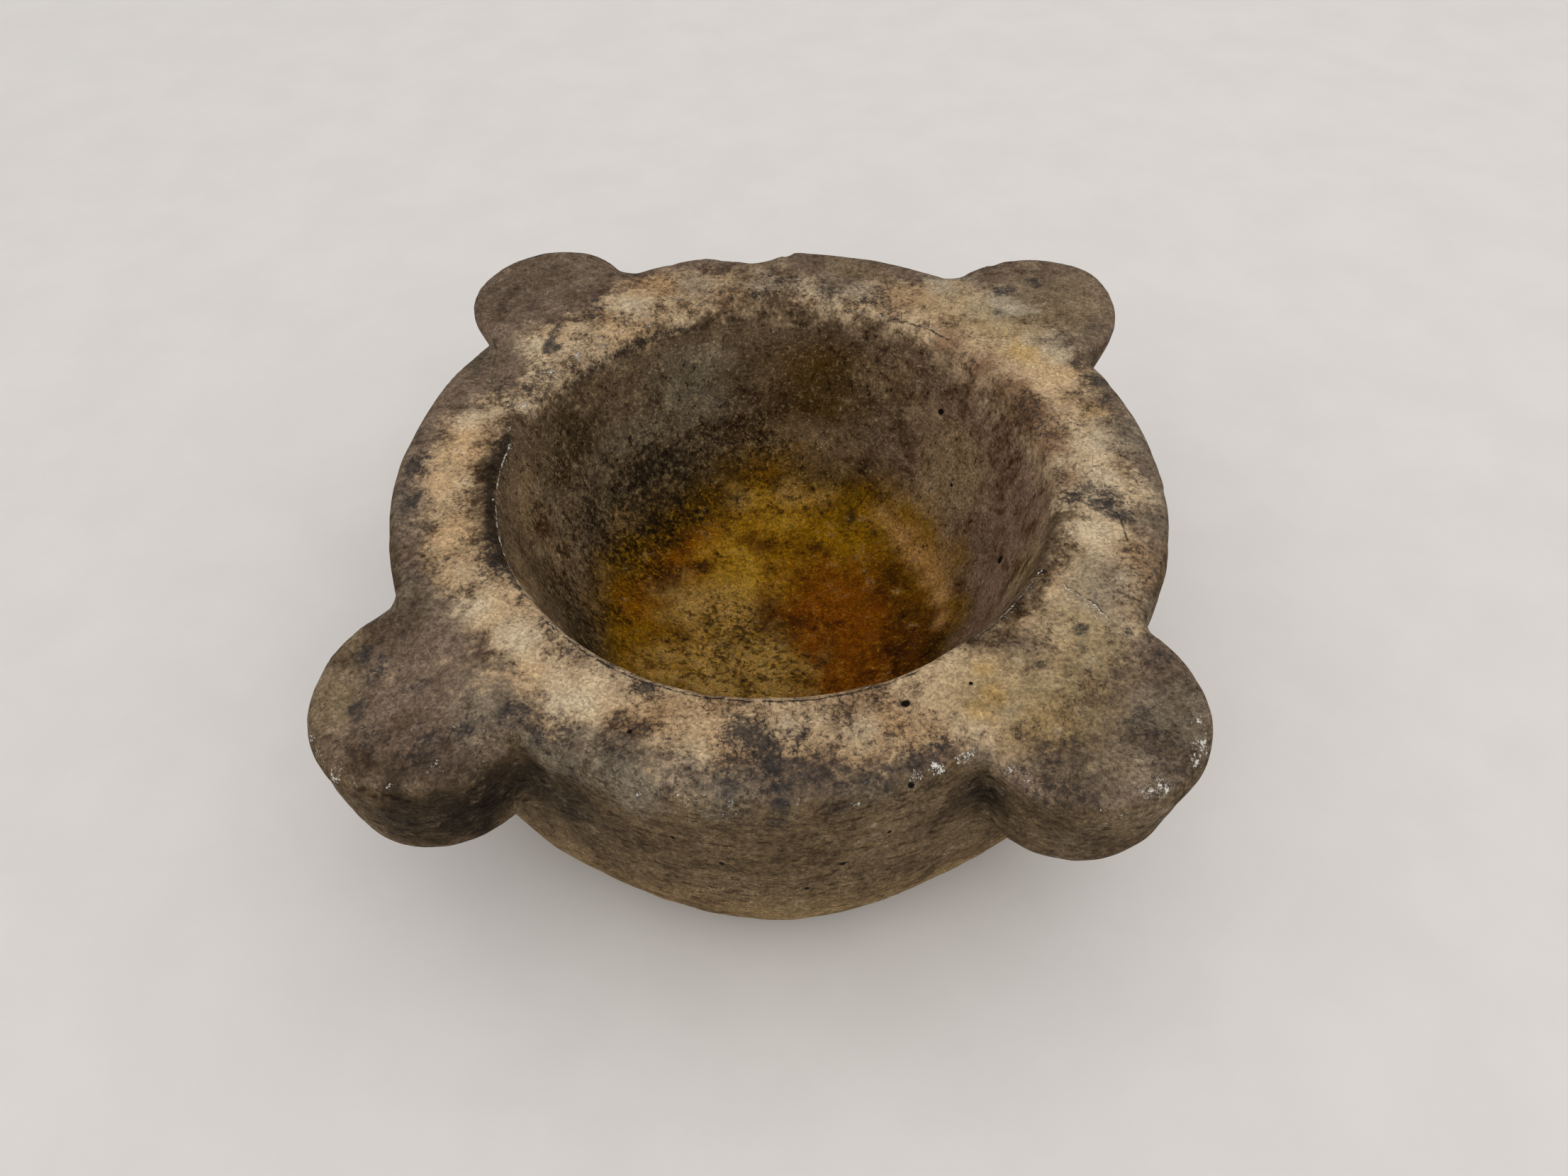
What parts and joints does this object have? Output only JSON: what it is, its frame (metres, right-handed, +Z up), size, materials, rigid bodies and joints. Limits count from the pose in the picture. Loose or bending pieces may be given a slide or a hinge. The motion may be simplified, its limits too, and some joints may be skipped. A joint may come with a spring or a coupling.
{
  "type": "stone mortar",
  "caption": "Carved marble mortar: a thick-walled round bowl with a dished floor, a broad flat rim and rounded lugs for lifting, standing on a flat foot.",
  "frame": {"origin": "centre of the foot, on the surface it stands on, under the bowl's axis", "axes": "+Z up along the bowl's axis, towards its mouth; the lugs stand at 40, 130, 220 and 310 degrees from +X"},
  "size_m": [0.2976, 0.2976, 0.115],
  "materials": {
    "worn_marble": "matte, weathered and stained"
  },
  "bodies": {
    "root": {"mortar": "worn_marble"}
  },
  "joints": []
}
